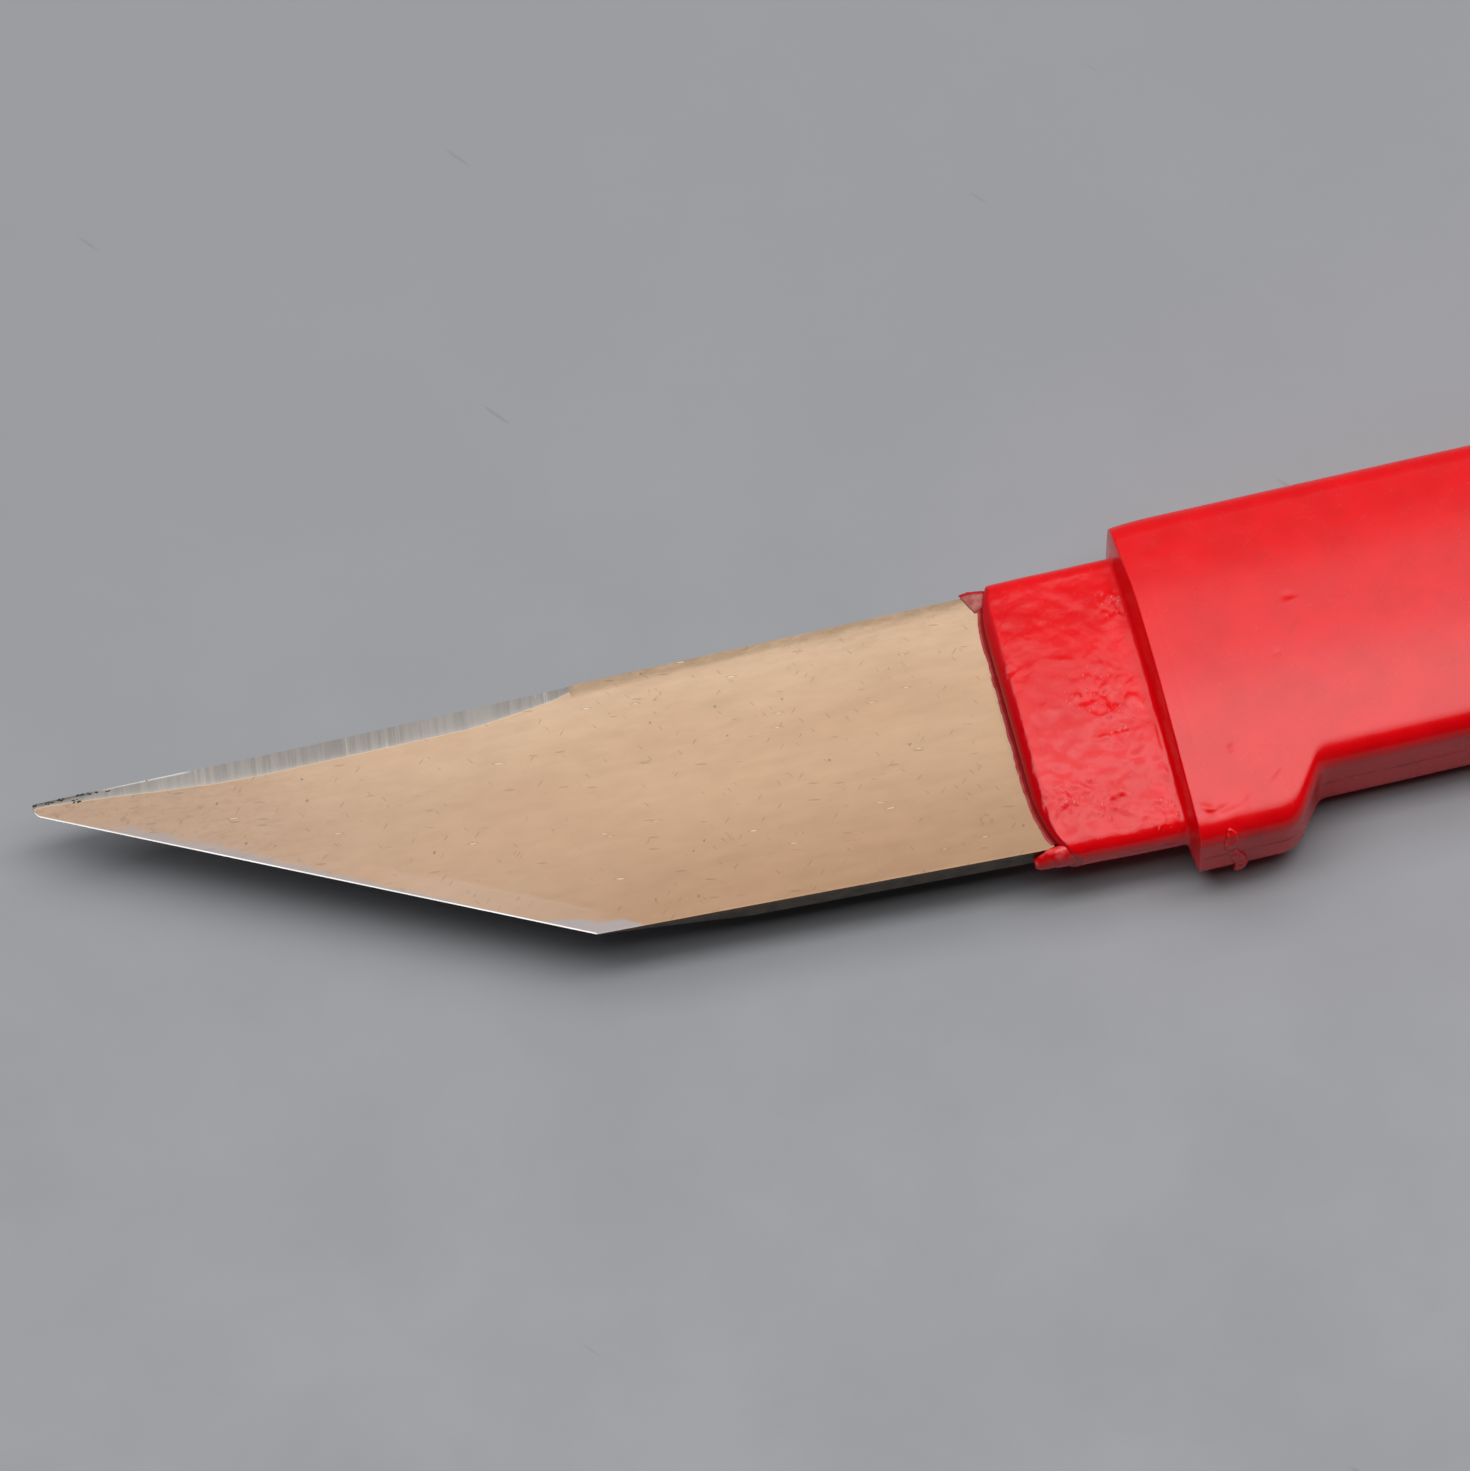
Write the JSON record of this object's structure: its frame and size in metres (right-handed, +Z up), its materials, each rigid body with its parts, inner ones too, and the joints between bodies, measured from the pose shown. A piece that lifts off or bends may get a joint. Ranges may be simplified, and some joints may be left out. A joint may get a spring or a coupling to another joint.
{
  "type": "marking knife",
  "caption": "Marking knife with a skewed single-bevel blade, insert-moulded in a flat red grip with a finger guard and a collar for a cap.",
  "frame": {"origin": "middle of the flat land under the grip, half way between the shoulder's rim and the butt", "axes": "+X along the handle towards the butt, +Y across towards the blade's spine, +Z up through the flat of the blade"},
  "size_m": [0.18, 0.0267, 0.0103],
  "materials": {
    "red_plastic": "moulded red plastic with a satin gloss",
    "soft_iron": "dark forged iron with a ground bevel",
    "lacquered_steel": "ground steel under a bronze-tinted clear lacquer"
  },
  "bodies": {
    "root": {"handle": "red_plastic", "soft_iron_body": "soft_iron", "edge_steel": "lacquered_steel"}
  },
  "joints": []
}
